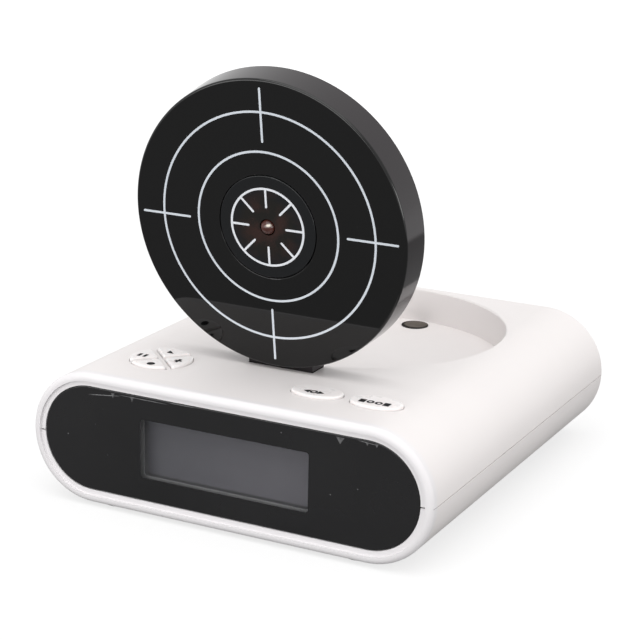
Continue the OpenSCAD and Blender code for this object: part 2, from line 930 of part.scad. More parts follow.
module target_cover() {
    color(gloss_black)
        difference() {
            union() {
                on_face() translate([0, 0, -target_t]) cylinder(r = cover_r, h = cover_t, $fn = large_fn);
                raised()
                    translate([-foot_w / 2, 0, 0])
                        rotate([90, 0, 90]) linear_extrude(foot_w) foot_profile();
            }
            raised() {
                rotate([0, 90, 0]) cylinder(r = pin_r + pin_run, h = foot_w + 2 * over, center = true);
                translate([-spring_room, -foot_front - over, -foot_front - over])
                    cube([
                        2 * spring_room, foot_front + foot_back + 2 * over, foot_front + spring_notch + over
                    ]);
            }
            on_face() {
                at_cover_posts() {
                    translate([0, 0, -target_t - over])
                        cylinder(r = small_pilot_r, h = cover_t + 2 * over);
                    translate([0, 0, -target_t - over])
                        cylinder(r = small_head_r + slack, h = small_head_t + over);
                }
                translate([magnet_x, keeper_v, -target_t - over])
                    cylinder(r = keeper_r + slack, h = keeper_t + over);
            }
        }
}

module bullseye_lens() {
    color([0.16, 0.04, 0.03])
        on_face()
            difference() {
                union() {
                    translate([0, 0, -face_t]) cylinder(r = bull_r, h = face_t);
                    translate([0, 0, -face_t - bull_flange_t])
                        cylinder(r = bull_r + bull_flange, h = bull_flange_t);
                }
                rotate_extrude() translate([bull_r, 0]) rotate(180) corner_cut(bull_edge_r);
                translate([0, 0, -face_t - bull_flange_t - over])
                    cylinder(r = dome_r + dome_hole_gap, h = face_t + bull_flange_t + 2 * over);
            }
}

// Printed ring in the middle of its line
module ring_line(r) {
    difference() {
        circle(r + line_w / 2, $fn = large_fn);
        circle(r - line_w / 2, $fn = large_fn);
    }
}

// Printed line with round ends, straight out from the bullseye
module straight_line(from, to) {
    translate([from, -line_w / 2]) square([to - from, line_w]);
    for (x = [from, to])
        translate([x, 0]) circle(line_w / 2);
}

module target_print() {
    color([0.86, 0.9, 0.95])
        on_face()
            linear_extrude(print_t) {
                for (r = ring_radii)
                    ring_line(r);
                for (turn = [0:90:270])
                    rotate(turn) straight_line(tick_in_share * target_r, tick_out_share * target_r);
                for (turn = [0:45:315])
                    rotate(turn) straight_line(spoke_in_share * ring_radii[0], ring_radii[0]);
            }
}

module receiver_dome() {
    color([0.75, 0.55, 0.5])
        on_face() {
            translate([0, 0, -dome_in]) sphere(dome_r);
            translate([0, 0, sensor_z]) cylinder(r = dome_r, h = -dome_in - sensor_z);
        }
}

module sensor_board() {
    ear_extra = 0.5;
    ear_root = 2;
    ear_r = sensor_post_r + ear_extra;
    color(board_green)
        on_face()
            translate([0, 0, sensor_z - board_t])
                difference() {
                    union() {
                        cylinder(r = sensor_r, h = board_t);
                        at_sensor_posts() {
                            cylinder(r = ear_r, h = board_t);
                            translate([sensor_r - ear_root - sensor_post_at, -ear_r, 0])
                                cube([sensor_post_at - sensor_r + ear_root, 2 * ear_r, board_t]);
                        }
                    }
                    at_sensor_posts()
                        translate([0, 0, -over]) cylinder(r = small_pilot_r, h = board_t + 2 * over);
                }
}

// Short screw for the inside of the target, driven from behind
module target_screw(shank_l) {
    mirror([0, 0, 1]) {
        cylinder(r = small_head_r, h = small_head_t);
        translate([0, 0, -shank_l]) cylinder(r = small_shank_r, h = shank_l);
    }
}

module sensor_screws() {
    color(steel)
        on_face()
            at_sensor_posts()
                translate([0, 0, sensor_z - board_t]) target_screw(board_t - sensor_z - face_t - tip_gap);
}

module target_screws() {
    color(steel)
        on_face()
            at_cover_posts() translate([0, 0, small_head_t - target_t]) target_screw(small_screw_l - tip_gap);
}

module keeper_plate() {
    color(steel)
        on_face() translate([magnet_x, keeper_v, -target_t]) cylinder(r = keeper_r, h = keeper_t);
}

// Core with its pole in the pocket floor and its plate under the coil
module magnet_core() {
    color([0.35, 0.34, 0.3])
        translate([magnet_x, magnet_y, 0]) {
            translate([0, 0, magnet_low_z]) cylinder(r = coil_r, h = core_plate_t);
            translate([0, 0, magnet_low_z]) cylinder(r = core_r, h = pole_z - magnet_low_z);
            translate([0, 0, bowl_under_z]) cylinder(r = pole_r, h = pole_z - bowl_under_z);
        }
}

module magnet_coil() {
    flange = 1;
    color([0.7, 0.38, 0.2])
        translate([magnet_x, magnet_y, magnet_low_z + core_plate_t + slack])
            difference() {
                union() {
                    cylinder(r = coil_r, h = flange);
                    cylinder(r = coil_r - flange, h = coil_h);
                    translate([0, 0, coil_h - flange]) cylinder(r = coil_r, h = flange);
                }
                translate([0, 0, -over]) cylinder(r = core_r + slack, h = coil_h + 2 * over);
            }
}

module magnet_strap() {
    end_r = strap_w / 2;
    color(steel)
        translate([magnet_x, magnet_y, magnet_low_z - strap_t])
            linear_extrude(strap_t)
                difference() {
                    union() {
                        square([2 * strap_x, strap_w], center = true);
                        for (x = [-strap_x, strap_x])
                            translate([x, 0]) circle(end_r);
                    }
                    for (x = [-strap_x, strap_x])
                        translate([x, 0]) circle(small_pilot_r);
                }
}

module strap_screws() {
    color(steel)
        at_strap_posts()
            translate([0, 0, magnet_low_z - strap_t])
                mirror([0, 0, 1]) {
                    cylinder(r = small_head_r, h = small_head_t);
                    translate([0, 0, -small_screw_l]) cylinder(r = small_shank_r, h = small_screw_l);
                }
}

module at_speaker(up) {
    translate([speaker_x, speaker_y, speaker_z + up]) children();
}

// Basket: a rim on the shell, sloping arms and the plate that carries the magnet
module speaker_basket() {
    plate_share = 0.6;
    plate_r = speaker_r * plate_share;
    color(steel)
        at_speaker(0)
            difference() {
                union() {
                    cylinder(r = speaker_r, h = basket_sheet);
                    translate([0, 0, basket_sheet])
                        cylinder(r1 = speaker_r - basket_sheet, r2 = plate_r, h = basket_h - basket_sheet);
                }
                translate([0, 0, -over]) cylinder(r = speaker_r - 2 * basket_sheet, h = basket_sheet + over);
                translate([0, 0, basket_sheet - slack])
                    cylinder(
                        r1 = speaker_r - 2 * basket_sheet, r2 = plate_r - basket_sheet,
                        h = basket_h - 2 * basket_sheet + slack
                    );
            }
}

module speaker_cone() {
    dust_share = 0.36;
    edge_z = 0.3;
    dust_z = 2.2;
    paper_t = 0.6;
    cone_r = speaker_r - 2 * basket_sheet - slack;
    dust_r = speaker_r * dust_share;
    color([0.1, 0.1, 0.1])
        at_speaker(0)
            rotate_extrude()
                polygon([
                    [0, dust_z], [dust_r, dust_z], [cone_r, edge_z], [cone_r, edge_z + paper_t],
                    [dust_r, dust_z + paper_t], [0, dust_z + paper_t]
                ]);
}

module speaker_magnet() {
    magnet_share = 0.55;
    magnet_t = 4;
    color(dark_grey) at_speaker(basket_h) cylinder(r = speaker_r * magnet_share, h = magnet_t);
}

module at_cells() {
    for (i = [0:cell_n - 1])
        translate([0, box_y + (i - (cell_n - 1) / 2) * (cell_d + box_gap), cell_z])
            mirror([i % 2, 0, 0]) rotate([0, 90, 0]) children();
}

// Cell along its own axis, with the raised cap at its positive end
module batteries() {
    cap_r = 2.75;
    cap_h = 1;
    color([0.12, 0.12, 0.14])
        at_cells() {
            translate([0, 0, -cell_l / 2]) cylinder(r = cell_d / 2, h = cell_l - cap_h);
            translate([0, 0, cell_l / 2 - cap_h]) cylinder(r = cap_r, h = cap_h);
        }
}

// Wound contact at each cell's flat end
module battery_springs() {
    turns = 3;
    rings = 12;
    steps = rings * turns;
    r_wide = 4.5;
    r_small = 2.5;
    wire_in = 0.35;
    z0 = -box_l / 2 + wire_in;
    z1 = -cell_l / 2 - wire_in - slack;
    color(steel)
        at_cells()
            wire(
                [for (i = [0:steps]) let (a = i * 360 / rings, r = r_wide + (r_small - r_wide) * i / steps) [
                    r * cos(a), r * sin(a), z0 + (z1 - z0) * i / steps
                ]],
                wire_in, wire_sides
            );
}

module battery_plates() {
    plate_t = 0.5;
    plate_w = 9;
    dimple_r = 2;
    reach = box_l / 2 - cell_l / 2 - plate_t - slack;
    color(steel)
        at_cells() {
            translate([-plate_w / 2, -plate_w / 2, box_l / 2 - plate_t]) cube([plate_w, plate_w, plate_t]);
            translate([0, 0, cell_l / 2 + slack]) cylinder(r = dimple_r, h = reach);
        }
}

// Door with two tongues in front, and a sprung latch at the rear
module battery_door() {
    plate_l = bay_l - 2 * run_gap;
    plate_y0 = bay_y0 + run_gap;
    plate_y1 = bay_y1 - run_gap;
    tongue_z = bay_z + slack;
    grip_t = 0.8;
    color(white) {
        translate([-plate_l / 2, plate_y0, foot_proud]) cube([plate_l, plate_y1 - plate_y0, door_t]);
        for (x = [-tongue_x, tongue_x])
            translate([x - tongue_w / 2, 0, 0]) {
                translate([0, plate_y0, door_z - slack])
                    cube([tongue_w, box_wall, tongue_z + tongue_t - door_z + slack]);
                translate([0, bay_y0 - tongue_out, tongue_z])
                    cube([tongue_w, tongue_out + 2 * run_gap, tongue_t]);
            }
        translate([-latch_w / 2, 0, 0]) {
            translate([0, plate_y1 - latch_t, door_z - slack]) cube([latch_w, latch_t, latch_h + slack]);
            translate([0, plate_y1 - latch_t, door_z + latch_h - latch_t])
                cube([latch_w, latch_out + run_gap, latch_t]);
            translate([0, plate_y1 + latch_out + run_gap - 2 * latch_t, foot_proud + grip_t])
                cube([latch_w, latch_t, door_z + latch_h - foot_proud - grip_t]);
        }
    }
}

module rubber_feet() {
    color(dark_grey) at_bosses() cylinder(r = pad_foot_r, h = foot_proud + foot_sink);
}

module case_screws() {
    shank_l = z_mid + pilot_l - tip_gap - head_seat_z;
    color(steel)
        at_bosses() {
            translate([0, 0, head_seat_z - case_head_t]) cylinder(r = case_head_r, h = case_head_t);
            translate([0, 0, head_seat_z]) cylinder(r = case_shank_r, h = shank_l);
        }
}

upper_shell();
lower_shell();
front_window();
window_mask();
lcd_holder();
lcd_glass();
lcd_backlight();
contact_strips();
display_board();
display_screws();
key_board();
board_parts();
tact_switches();
ribbon_cable();
board_screws();
set_button();
mode_button();
pad_key(180);  // key_left
pad_key(0);  // key_right
pad_key(90);  // key_rear
pad_key(270);  // key_front
hinge_pin();
target_spring();
target_shell();
target_cover();
bullseye_lens();
target_print();
receiver_dome();
sensor_board();
sensor_screws();
target_screws();
keeper_plate();
magnet_core();
magnet_coil();
magnet_strap();
strap_screws();
speaker_basket();
speaker_cone();
speaker_magnet();
batteries();
battery_springs();
battery_plates();
battery_door();
rubber_feet();
case_screws();
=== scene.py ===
"""Looks of the digital alarm clock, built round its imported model.

Lengths are in metres, in the model's frame, unless a comment says otherwise.
"""

import math

import bmesh
import bpy
from mathutils import Matrix, Vector

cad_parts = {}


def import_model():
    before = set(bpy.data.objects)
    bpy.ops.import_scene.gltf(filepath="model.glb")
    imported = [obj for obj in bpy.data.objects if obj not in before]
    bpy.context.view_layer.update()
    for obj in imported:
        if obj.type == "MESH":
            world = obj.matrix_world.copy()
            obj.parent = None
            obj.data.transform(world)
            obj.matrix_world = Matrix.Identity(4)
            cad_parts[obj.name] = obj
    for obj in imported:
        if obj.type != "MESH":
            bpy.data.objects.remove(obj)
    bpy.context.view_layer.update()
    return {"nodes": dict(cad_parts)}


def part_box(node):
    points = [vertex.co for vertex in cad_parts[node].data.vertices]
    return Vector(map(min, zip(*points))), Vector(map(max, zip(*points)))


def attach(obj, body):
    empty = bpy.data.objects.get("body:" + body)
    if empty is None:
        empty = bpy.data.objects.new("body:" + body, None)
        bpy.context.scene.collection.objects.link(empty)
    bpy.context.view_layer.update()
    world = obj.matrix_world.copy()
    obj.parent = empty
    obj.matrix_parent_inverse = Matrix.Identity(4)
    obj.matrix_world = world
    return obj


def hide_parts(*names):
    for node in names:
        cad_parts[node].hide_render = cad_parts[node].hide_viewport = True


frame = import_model()
nodes = frame["nodes"]
MM = 0.001

# Sizes shared with the model
TARGET_R = 47.85 * MM
TARGET_EDGE = 0.8 * MM
TARGET_T = 11.0 * MM
TARGET_FLARE = 0.8 * MM
POLE_TOP = 4.9 * MM
VIEW_HALF = Vector((30.0, 9.75)) * MM

# Sizes of the looks
VIEW_CORNER = 1.0 * MM
LCD_CORNER = 1.3 * MM
WINDOW_EDGE = 0.35 * MM
MARK_SUNK = 0.03 * MM
MARK_PROUD = 0.02 * MM
SOFT_DEPTH = 1.8 * MM
NORMAL_TOLERANCE = 0.06 * MM
WELD = 0.002 * MM
SPECK_CELLS = 160.0
SPECK_INNER, SPECK_OUTER = 0.02, 0.03
GRAIN_TURN = (0.6, 0.4, 0.9)
GRAIN_STRENGTH = 0.6
SHELL_GRAIN = 1100.0
SHELL_SPECULAR = 0.12

# How far faces look the same way, as the cosine between them, and smoothing angles in degrees
LIT_FACE = 0.12
LEVEL_FACE = 0.9
LOOKS_FRONT = 0.7
LOOKS_OUT = -0.1
LOOKS_STRAIGHT_OUT = 0.8
ROUND_ANGLE = 32
KEY_ANGLE = 50

# Colours
WHITE = (0.80, 0.765, 0.757)
# Cooler white of the front rim: a painted reflection.
PAINTED_RIM_REFLECTION = (0.785, 0.765, 0.775)
FILM_GREY = (0.24, 0.24, 0.245)

# Marks in the window's film, in millimetres along X and from the window's upper edge.
# A scratch ends with its half width, and a nick with its half width for each millimetre of depth.
FILM_SCRATCHES = (
    ((-50.3, -2.8), (-38.0, -1.35), 0.17),
    ((-38.9, -1.0), (-20.0, -1.05), 0.13),
    ((-20.5, -0.45), (-10.0, -0.4), 0.12),
    ((45.5, -0.6), (52.5, -1.1), 0.12),
)
FILM_NICKS = (
    (-40.8, -2.5, 0.40), (-33.6, -2.6, 0.40), (39.9, -2.95, 0.66), (48.9, -1.85, 0.55), (52.0, -1.95, 0.5),
)
FILM_SPECKS = (
    (46.1, -16.2), (37.0, -19.7), (-58.1, -17.5), (19.9, -2.95), (-16.6, -12.95), (-29.5, -17.0),
)
NICK_TOP = -0.75 * MM
NICK_SOFT_IN, NICK_SOFT_OUT = -0.1 * MM, 0.06 * MM
SPECK_CORE, SPECK_EDGE = 0.08 * MM, 0.2 * MM


# Node building
def new_material(name):
    mat = bpy.data.materials.new(name)
    mat.use_nodes = True
    return mat, mat.node_tree, mat.node_tree.nodes["Principled BSDF"]


def object_coords(tree):
    return tree.nodes.new("ShaderNodeTexCoord").outputs["Object"]


def feed(tree, socket, value):
    """Links a socket, or sets a plain value."""
    if isinstance(value, bpy.types.NodeSocket):
        tree.links.new(value, socket)
    else:
        socket.default_value = value


def calc(tree, operation, first, second=0.0):
    node = tree.nodes.new("ShaderNodeMath")
    node.operation = operation
    feed(tree, node.inputs[0], first)
    feed(tree, node.inputs[1], second)
    return node.outputs[0]


def vector_calc(tree, operation, first, second=(0.0, 0.0, 0.0), output="Vector"):
    node = tree.nodes.new("ShaderNodeVectorMath")
    node.operation = operation
    feed(tree, node.inputs[0], first)
    feed(tree, node.inputs[1], second)
    return node.outputs[output]


def split(tree, vector):
    node = tree.nodes.new("ShaderNodeSeparateXYZ")
    tree.links.new(vector, node.inputs[0])
    return node.outputs


def noise(tree, coords, scale, detail=3.0, roughness=0.5):
    node = tree.nodes.new("ShaderNodeTexNoise")
    node.inputs["Scale"].default_value = scale
    node.inputs["Detail"].default_value = detail
    node.inputs["Roughness"].default_value = roughness
    tree.links.new(coords, node.inputs["Vector"])
    return node.outputs["Fac"]


def ramp(tree, value, low, high, out_low=0.0, out_high=1.0):
    node = tree.nodes.new("ShaderNodeMapRange")
    node.inputs["From Min"].default_value = low
    node.inputs["From Max"].default_value = high
    node.inputs["To Min"].default_value = out_low
    node.inputs["To Max"].default_value = out_high
    tree.links.new(value, node.inputs["Value"])
    return node.outputs["Result"]


def mottled(tree, coords, scale, detail=3.0):
    """Soft patches from 0 to 1."""
    return ramp(tree, noise(tree, coords, scale, detail), 0.3, 0.7)


def blend_colours(tree, factor, first, second):
    node = tree.nodes.new("ShaderNodeMix")
    node.data_type = "RGBA"
    tree.links.new(factor, node.inputs["Factor"])
    for name, colour in (("A", first), ("B", second)):
        socket = next(s for s in node.inputs if s.name == name and s.type == "RGBA")
        feed(tree, socket, colour if isinstance(colour, bpy.types.NodeSocket) else (*colour, 1.0))
    return next(s for s in node.outputs if s.type == "RGBA")


def shade(colour, factor):
    return tuple(min(1.0, c * factor) for c in colour)


def add_specks(tree, coords, tone, amount, colour):
    """Sparse specks of dust on a tone."""
    cells = tree.nodes.new("ShaderNodeTexVoronoi")
    cells.inputs["Scale"].default_value = SPECK_CELLS
    tree.links.new(coords, cells.inputs["Vector"])
    speck = ramp(tree, cells.outputs["Distance"], SPECK_INNER, SPECK_OUTER, amount, 0.0)
    return blend_colours(tree, speck, tone, colour)


def add_grain(tree, bsdf, coords, scale, depth):
    """Fine moulded or drawn grain. Its pattern lies askew to the model's axes."""
    turned = tree.nodes.new("ShaderNodeMapping")
    turned.inputs["Rotation"].default_value = GRAIN_TURN
    tree.links.new(coords, turned.inputs["Vector"])
    bump = tree.nodes.new("ShaderNodeBump")
    bump.inputs["Strength"].default_value = GRAIN_STRENGTH
    bump.inputs["Distance"].default_value = depth
    tree.links.new(noise(tree, turned.outputs["Vector"], scale, 1.0), bump.inputs["Height"])
    tree.links.new(bump.outputs["Normal"], bsdf.inputs["Normal"])
    return bump


def surface(name, colour, rough=0.3, vary=0.03, patch=25.0, grain=2500.0, grain_depth=0.02 * MM,
            spec=0.5, coat=0.0, dust=0.0, dust_colour=(0.5, 0.5, 0.5), metallic=0.0, soft=0.0,
            tint=(1.0, 1.0, 1.0)):
    """Moulded, painted or metal surface: patches of tone, uneven gloss, fine grain and, if asked, dust."""
    mat, tree, bsdf = new_material(name)
    coords = object_coords(tree)
    patches = mottled(tree, coords, patch, 4.0)
    tone = blend_colours(tree, patches, shade(colour, 1 - vary), shade(colour, 1 + vary))
    if dust:
        tone = add_specks(tree, coords, tone, dust, dust_colour)
    tree.links.new(tone, bsdf.inputs["Base Color"])
    smear = noise(tree, coords, patch * 6, 5.0, 0.6)
    tree.links.new(ramp(tree, smear, 0.3, 0.7, rough * 0.85, rough * 1.2), bsdf.inputs["Roughness"])
    add_grain(tree, bsdf, coords, grain, grain_depth)
    bsdf.inputs["Specular IOR Level"].default_value = spec
    bsdf.inputs["Specular Tint"].default_value = (*tint, 1.0)
    bsdf.inputs["Coat Weight"].default_value = coat
    bsdf.inputs["Metallic"].default_value = metallic
    bsdf.inputs["Subsurface Weight"].default_value = soft
    bsdf.inputs["Subsurface Radius"].default_value = (0.9, 0.97, 1.0)
    bsdf.inputs["Subsurface Scale"].default_value = SOFT_DEPTH
    return mat


def shell_material():
    """Warm white moulded plastic. The front rim is smoother, and a painted reflection makes it look a little
    cooler.
    """
    rim_full, rim_end = 2.2 * MM, 4.2 * MM
    smooth_end, grain_full = 3.5 * MM, 7.0 * MM
    mat, tree, bsdf = new_material("white_shell")
    coords = object_coords(tree)
    warm = blend_colours(tree, mottled(tree, coords, 25.0, 4.0), shade(WHITE, 0.988), shade(WHITE, 1.012))
    front = front_of("upper_shell")
    depth = split(tree, coords)["Y"]
    # Painted reflection: the front rim is blended to a cooler white.
    rim = ramp(tree, depth, front + rim_full, front + rim_end, 1.0, 0.0)
    tree.links.new(blend_colours(tree, rim, warm, PAINTED_RIM_REFLECTION), bsdf.inputs["Base Color"])
    smear = noise(tree, coords, 150.0, 5.0, 0.6)
    tree.links.new(ramp(tree, smear, 0.3, 0.7, 0.29, 0.40), bsdf.inputs["Roughness"])
    grain = add_grain(tree, bsdf, coords, SHELL_GRAIN, 0.010 * MM)
    strength = ramp(tree, depth, front + smooth_end, front + grain_full, 0.0, GRAIN_STRENGTH)
    tree.links.new(strength, grain.inputs["Strength"])
    bsdf.inputs["Specular IOR Level"].default_value = SHELL_SPECULAR
    return mat


def front_of(name):
    """Frontmost coordinate of a node."""
    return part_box(name)[0].y


def lens_middle():
    """Middle of the lens's face, on the surface."""
    low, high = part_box("target_print")
    return (low + high) / 2


def lens_material():
    """Dark red see-through plastic: nearly black, with a warm glow from the parts behind it."""
    glow_full, glow_end = 4.0 * MM, 14.0 * MM
    warm_end, cool_start = 8.5 * MM, 11.0 * MM
    warm_black = (0.0085, 0.0072, 0.0058)
    cool_black = (0.0055, 0.0062, 0.0072)
    glow_red = (0.030, 0.013, 0.010)
    mat, tree, bsdf = new_material("lens_red")
    coords = object_coords(tree)
    away = vector_calc(tree, "DISTANCE", coords, lens_middle(), "Value")
    near = ramp(tree, away, glow_full, glow_end, 1.0, 0.0)
    glow = calc(tree, "MULTIPLY", near, ramp(tree, noise(tree, coords, 170.0), 0.42, 0.62))
    body = blend_colours(tree, ramp(tree, away, warm_end, cool_start), warm_black, cool_black)
    tone = blend_colours(tree, glow, body, glow_red)
    tree.links.new(tone, bsdf.inputs["Base Color"])
    tree.links.new(ramp(tree, noise(tree, coords, 150.0), 0.3, 0.7, 0.05, 0.09), bsdf.inputs["Roughness"])
    bsdf.inputs["Specular IOR Level"].default_value = 0.36
    return mat


def display_material():
    """Blank display: grey field with round corners, brighter to the right by painted light, in a border
    darkened at its foot by painted shadow.
    """
    line_half = 0.3 * MM
    foot_high = 0.6 * MM
    line_end, border_start = 0.6 * MM, 1.2 * MM
    field_dark, field_pale = (0.325, 0.325, 0.362), (0.345, 0.345, 0.382)
    painted_light_field = (0.475, 0.465, 0.515)
    line_grey, painted_shadow_grey, border_grey = (0.44, 0.44, 0.46), (0.27, 0.27, 0.28), (0.52, 0.52, 0.54)
    mat, tree, bsdf = new_material("display_glass")
    coords = object_coords(tree)
    low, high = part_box("lcd_glass")
    middle = (low + high) / 2
    core = Vector((VIEW_HALF.x - LCD_CORNER, 1.0, VIEW_HALF.y - LCD_CORNER))
    offset = vector_calc(tree, "ABSOLUTE", vector_calc(tree, "SUBTRACT", coords, middle))
    outside = vector_calc(tree, "MAXIMUM", vector_calc(tree, "SUBTRACT", offset, core))
    reach = vector_calc(tree, "LENGTH", outside, output="Value")
    across = split(tree, coords)["X"]
    field = blend_colours(tree, mottled(tree, coords, 90.0), field_dark, field_pale)
    # Painted light: the field is made brighter towards the right, where more light falls.
    painted_light_share = ramp(tree, across, middle.x - VIEW_HALF.x, middle.x + VIEW_HALF.x)
    field = blend_colours(tree, painted_light_share, field, painted_light_field)
    foot_z = middle.z - VIEW_HALF.y
    # Painted shadow: the line at the field's foot is darker, as if the holder's lip shades it.
    painted_shadow_share = ramp(tree, split(tree, coords)["Z"], foot_z - line_half, foot_z + foot_high, 1.0, 0.0)
    border = ramp(tree, reach, LCD_CORNER - line_half, LCD_CORNER + line_half)
    rim_tone = blend_colours(tree, painted_shadow_share, line_grey, painted_shadow_grey)
    rest = ramp(tree, reach, LCD_CORNER + line_end, LCD_CORNER + border_start)
    rim_tone = blend_colours(tree, rest, rim_tone, border_grey)
    tone = blend_colours(tree, border, field, rim_tone)
    tree.links.new(tone, bsdf.inputs["Base Color"])
    tree.links.new(ramp(tree, noise(tree, coords, 500.0), 0.3, 0.7, 0.35, 0.5), bsdf.inputs["Roughness"])
    return mat


def print_material():
    """Pale print, a little whiter on the lens."""
    lens_r, face_start = 17.0 * MM, 18.0 * MM
    mat, tree, bsdf = new_material("print_pale")
    coords = object_coords(tree)
    away = vector_calc(tree, "DISTANCE", coords, lens_middle(), "Value")
    on_lens = ramp(tree, away, lens_r, face_start, 1.0, 0.0)
    tone = blend_colours(tree, mottled(tree, coords, 60.0), (0.61, 0.65, 0.70), (0.65, 0.69, 0.74))
    tone = blend_colours(tree, on_lens, tone, (0.74, 0.76, 0.80))
    tree.links.new(tone, bsdf.inputs["Base Color"])
    tree.links.new(ramp(tree, noise(tree, coords, 900.0), 0.3, 0.7, 0.35, 0.5), bsdf.inputs["Roughness"])
    bsdf.inputs["Specular IOR Level"].default_value = 0.3
    return mat


def dome_material():
    """Brown-red dome of the receiver, with a painted highlight on one side."""
    glint_place = Vector((1.0, 0.0, 0.5)) * MM
    glint_core, glint_edge = 0.35 * MM, 0.95 * MM
    mat, tree, bsdf = new_material("dome")
    coords = object_coords(tree)
    low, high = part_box("receiver_dome")
    middle = (low + high) / 2
    offset = vector_calc(tree, "SUBTRACT", coords, middle + glint_place)
    offset = vector_calc(tree, "MULTIPLY", offset, (1.0, 0.0, 1.6))
    away = vector_calc(tree, "LENGTH", offset, output="Value")
    tone = blend_colours(tree, mottled(tree, coords, 500.0), (0.045, 0.013, 0.010), (0.085, 0.026, 0.019))
    # Painted highlight: a pale patch on one side stands in for a glint of light.
    painted_glint = ramp(tree, away, glint_core, glint_edge, 0.95, 0.0)
    tree.links.new(blend_colours(tree, painted_glint, tone, (0.88, 0.82, 0.72)), bsdf.inputs["Base Color"])
    tree.links.new(ramp(tree, noise(tree, coords, 700.0), 0.3, 0.7, 0.04, 0.09), bsdf.inputs["Roughness"])
    bsdf.inputs["Specular IOR Level"].default_value = 0.45
    return mat


def pole_material():
    """Top of the magnet's pole: olive grey, darkened round its edge by painted shade."""
    rim_shade_shift = Vector((0.1, 0.7, 0.0)) * MM
    edge_inner, edge_outer = POLE_TOP - 1.0 * MM, POLE_TOP - 0.3 * MM
    mat, tree, bsdf = new_material("pole")
    coords = object_coords(tree)
    low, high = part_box("magnet_core")
    middle = (low + high) / 2
    offset = vector_calc(tree, "SUBTRACT", coords, middle + rim_shade_shift)
    flat = vector_calc(tree, "MULTIPLY", offset, (1.0, 1.0, 0.0))
    away = vector_calc(tree, "LENGTH", flat, output="Value")
    tone = blend_colours(tree, mottled(tree, coords, 300.0), (0.105, 0.091, 0.078), (0.13, 0.114, 0.10))
    # Painted shade: the ring near the edge of the pole's top, shifted towards its front, is darkened.
    edge = ramp(tree, away, edge_inner, edge_outer)
    tree.links.new(blend_colours(tree, edge, tone, (0.010, 0.009, 0.008)), bsdf.inputs["Base Color"])
    tree.links.new(ramp(tree, noise(tree, coords, 400.0), 0.3, 0.7, 0.55, 0.7), bsdf.inputs["Roughness"])
    bsdf.inputs["Specular IOR Level"].default_value = 0.06
    return mat


def clear_material():
    """Smoked clear field of the window."""
    mat, tree, bsdf = new_material("window_clear")
    coords = object_coords(tree)
    tone = blend_colours(tree, mottled(tree, coords, 40.0), (0.006, 0.006, 0.0065), (0.008, 0.008, 0.0085))
    tree.links.new(add_specks(tree, coords, tone, 0.35, (0.2, 0.2, 0.2)), bsdf.inputs["Base Color"])
    tree.links.new(ramp(tree, noise(tree, coords, 150.0), 0.3, 0.7, 0.04, 0.06), bsdf.inputs["Roughness"])
    bsdf.inputs["Alpha"].default_value = 0.3
    bsdf.inputs["Specular IOR Level"].default_value = 0.5
    return mat


def film_marks(mat):
    """Adds the scratches, nicks and specks of the window's protective film."""
    tree = mat.node_tree
    base = tree.nodes["Principled BSDF"].inputs["Base Color"]
    plain = base.links[0].from_socket
    coords = object_coords(tree)
    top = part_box("front_window")[1].z
    place = split(tree, coords)
    marks = 0.0
    for start, end, width in FILM_SCRATCHES:
        first = Vector((start[0] * MM, 0.0, top + start[1] * MM))
        last = Vector((end[0] * MM, 0.0, top + end[1] * MM))
        along = (last - first).normalized()
        offset = vector_calc(tree, "SUBTRACT", coords, (first + last) / 2)
        half = (last - first).length / 2
        across = (-along.z, 0.0, along.x)
        aside = calc(tree, "ABSOLUTE", vector_calc(tree, "DOT_PRODUCT", offset, across, "Value"))
        run = calc(tree, "ABSOLUTE", vector_calc(tree, "DOT_PRODUCT", offset, along, "Value"))
        line = calc(tree, "MULTIPLY", ramp(tree, aside, 0.3 * width * MM, width * MM, 1.0, 0.0),
                    ramp(tree, run, half * 0.5, half, 1.0, 0.0))
        marks = calc(tree, "MAXIMUM", marks, line)
    for x, tip, share in FILM_NICKS:
        aside = calc(tree, "ABSOLUTE", calc(tree, "SUBTRACT", place["X"], x * MM))
        rise = calc(tree, "SUBTRACT", place["Z"], top + tip * MM)
        beyond = calc(tree, "SUBTRACT", aside, calc(tree, "MULTIPLY", rise, share))
        over = ramp(tree, place["Z"], top + NICK_TOP - 0.1 * MM, top + NICK_TOP, 1.0, 0.0)
        nick = calc(tree, "MULTIPLY", ramp(tree, beyond, NICK_SOFT_IN, NICK_SOFT_OUT, 0.5, 0.0), over)
        marks = calc(tree, "MAXIMUM", marks, nick)
    broken = ramp(tree, noise(tree, coords, 900.0, 4.0), 0.35, 0.55, 0.5, 1.0)
    marks = calc(tree, "MULTIPLY", marks, broken)
    for x, drop in FILM_SPECKS:
        speck = Vector((x * MM, 0.0, top + drop * MM))
        offset = vector_calc(tree, "MULTIPLY", vector_calc(tree, "SUBTRACT", coords, speck), (1.0, 0.0, 1.0))
        away = vector_calc(tree, "LENGTH", offset, output="Value")
        marks = calc(tree, "MAXIMUM", marks, ramp(tree, away, SPECK_CORE, SPECK_EDGE, 1.0, 0.0))
    tree.links.new(blend_colours(tree, marks, plain, FILM_GREY), base)


